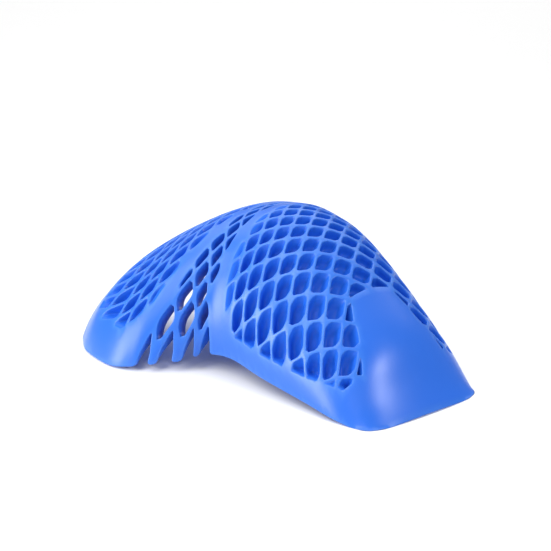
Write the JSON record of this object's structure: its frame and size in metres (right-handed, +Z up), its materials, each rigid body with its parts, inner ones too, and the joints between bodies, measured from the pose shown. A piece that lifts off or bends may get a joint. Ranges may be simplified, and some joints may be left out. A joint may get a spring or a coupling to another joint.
{
  "type": "shoulder protector",
  "caption": "Domed shoulder pad moulded in one piece, with diamond pockets over the cup and the neck panel, a pierced stretch gusset, an arm flap and two wings on the neck side.",
  "frame": {"origin": "on the table, under the middle of the pad's box", "axes": "+Z up out of the dome, +X from the neck side to the arm end, Y across the shoulder"},
  "size_m": [0.21, 0.215, 0.0892],
  "materials": {
    "moulded_rubber": "satin moulded blue rubber foam"
  },
  "bodies": {
    "root": {"protector_pad": "moulded_rubber"}
  },
  "joints": []
}
